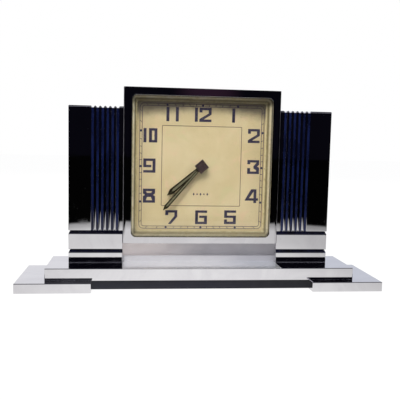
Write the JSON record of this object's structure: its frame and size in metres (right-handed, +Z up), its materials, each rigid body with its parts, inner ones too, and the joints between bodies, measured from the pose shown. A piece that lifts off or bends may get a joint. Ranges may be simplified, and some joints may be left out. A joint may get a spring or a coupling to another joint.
{
  "type": "mantel clock",
  "caption": "Chromed art-deco mantel clock with a square dial, fluted side wings with blue enamel grooves, a stepped base and a wound lever movement.",
  "frame": {"origin": "on the table, under the centre of the two foot blocks", "axes": "+X to the viewer's right along the base, +Y from the dial to the back, +Z up"},
  "size_m": [0.254, 0.0586, 0.1402],
  "materials": {
    "chrome": "polished chrome plate",
    "blue_enamel": "glossy blue enamel",
    "navy_lacquer": "satin navy lacquer",
    "felt": "matt felt",
    "glass": "clear polished",
    "gasket": "matt",
    "gilt": "satin gilt",
    "dial_face": "aged cream paint",
    "bronze_hand": "dark bronze",
    "hand_fill": "matt grey-green compound",
    "dark_hub": "dark brown lacquer",
    "brass": "machined",
    "steel": "bright",
    "blued_steel": "blued",
    "ruby": "polished ruby",
    "back_cover": "brushed nickel plate"
  },
  "bodies": {
    "root": {"foot_left": "chrome", "foot_right": "chrome", "foot_pads": "felt", "foot_screws": "steel", "base_bar": "navy_lacquer", "base_slab": "chrome", "plinth": "chrome", "tie_bolts": "steel", "tie_nuts": "steel", "wing_left": "chrome", "wing_right": "chrome", "wing_enamel_left": "blue_enamel", "wing_enamel_right": "blue_enamel", "wing_screws": "steel", "centre_case": "chrome", "bezel": "chrome", "glass": "glass", "glass_gasket": "gasket", "sight_frame": "gilt", "rear_cover": "back_cover", "cover_screws": "steel", "dial": "dial_face", "dial_feet": "brass", "front_plate": "brass", "back_plate": "brass", "pivot_jewels": "ruby", "plate_pillars": "steel", "plate_screws": "steel", "movement_brackets": "steel", "bracket_screws": "steel", "click_screw": "steel", "click_spring": "steel", "hairspring": "blued_steel", "balance_cock": "brass", "regulator_ring": "steel"},
    "minute_drive": {"minute_hand": "bronze_hand", "minute_hand_fill": "hand_fill", "hand_hub": "dark_hub", "minute_arbor": "steel", "cannon_pinion": "steel", "set_knob": "brass"},
    "hour_drive": {"hour_hand": "bronze_hand", "hour_hand_fill": "hand_fill", "hour_wheel": "brass"},
    "motion_wheel": {"minute_wheel": "brass"},
    "spring_barrel": {"barrel": "brass", "barrel_cover": "brass", "mainspring": "blued_steel"},
    "winder": {"barrel_arbor": "steel", "ratchet_wheel": "steel", "winding_key": "brass"},
    "winding_click": {"click": "steel"},
    "intermediate": {"intermediate_arbor": "brass"},
    "centre": {"centre_arbor": "brass"},
    "third": {"third_arbor": "brass"},
    "fourth": {"fourth_arbor": "brass"},
    "escape": {"escape_arbor": "brass"},
    "pallets": {"pallet_lever": "steel"},
    "oscillator": {"balance": "brass"},
    "rate_lever": {"regulator": "steel"}
  },
  "joints": [
    {"name": "minute_hand_turn", "type": "hinge", "parent": "root", "child": "minute_drive", "pos_m": [0, 0.013, 0.0851], "axis": [0, 1, 0], "continuous": true},
    {"name": "hour_hand_turn", "type": "hinge", "parent": "root", "child": "hour_drive", "pos_m": [0, 0.005, 0.0851], "axis": [0, 1, 0], "continuous": true},
    {"name": "motion_wheel_turn", "type": "hinge", "parent": "root", "child": "motion_wheel", "pos_m": [0.00424, 0.0075, 0.08934], "axis": [0, 1, 0], "continuous": true},
    {"name": "centre_wheel_turn", "type": "hinge", "parent": "root", "child": "centre", "pos_m": [0, 0.013, 0.0851], "axis": [0, 1, 0], "continuous": true},
    {"name": "intermediate_wheel_turn", "type": "hinge", "parent": "root", "child": "intermediate", "pos_m": [-0.01091, 0.013, 0.0914], "axis": [0, 1, 0], "continuous": true},
    {"name": "barrel_turn", "type": "hinge", "parent": "root", "child": "spring_barrel", "pos_m": [-0.0267, 0.013, 0.08565], "axis": [0, 1, 0], "continuous": true},
    {"name": "third_wheel_turn", "type": "hinge", "parent": "root", "child": "third", "pos_m": [0.00562, 0.013, 0.07536], "axis": [0, 1, 0], "continuous": true},
    {"name": "fourth_wheel_turn", "type": "hinge", "parent": "root", "child": "fourth", "pos_m": [0.01498, 0.013, 0.07536], "axis": [0, 1, 0], "continuous": true},
    {"name": "escape_wheel_turn", "type": "hinge", "parent": "root", "child": "escape", "pos_m": [0.01937, 0.013, 0.08298], "axis": [0, 1, 0], "continuous": true},
    {"name": "winding_key_turn", "type": "hinge", "parent": "root", "child": "winder", "pos_m": [-0.0267, 0.02, 0.08565], "axis": [0, 1, 0], "continuous": true},
    {"name": "click_lift", "type": "hinge", "parent": "root", "child": "winding_click", "pos_m": [-0.0277, 0.018, 0.09711], "axis": [0, -1, 0], "range_deg": [0, 14], "stiffness_Nm_per_rad": 0.0002, "deforming": ["click_spring"]},
    {"name": "pallet_rock", "type": "hinge", "parent": "root", "child": "pallets", "pos_m": [0.02077, 0.013, 0.08819], "axis": [0, 1, 0], "range_deg": [-5, 5]},
    {"name": "balance_swing", "type": "hinge", "parent": "root", "child": "oscillator", "pos_m": [0.02077, 0.014, 0.09769], "axis": [0, 1, 0], "range_deg": [-135, 135], "stiffness_Nm_per_rad": 0.000008, "deforming": ["hairspring"]},
    {"name": "regulator_shift", "type": "hinge", "parent": "root", "child": "rate_lever", "pos_m": [0.02077, 0.019, 0.09769], "axis": [0, 1, 0], "range_deg": [-18, 18]}
  ],
  "couplings": [
    {"joint": "hour_hand_turn", "follows": "minute_hand_turn", "ratio": 0.083333},
    {"joint": "motion_wheel_turn", "follows": "minute_hand_turn", "ratio": -0.33333},
    {"joint": "centre_wheel_turn", "follows": "minute_hand_turn", "ratio": 1},
    {"joint": "intermediate_wheel_turn", "follows": "minute_hand_turn", "ratio": -0.16667},
    {"joint": "barrel_turn", "follows": "minute_hand_turn", "ratio": 0.033333},
    {"joint": "third_wheel_turn", "follows": "minute_hand_turn", "ratio": -8},
    {"joint": "fourth_wheel_turn", "follows": "minute_hand_turn", "ratio": 60},
    {"joint": "escape_wheel_turn", "follows": "minute_hand_turn", "ratio": -600}
  ]
}
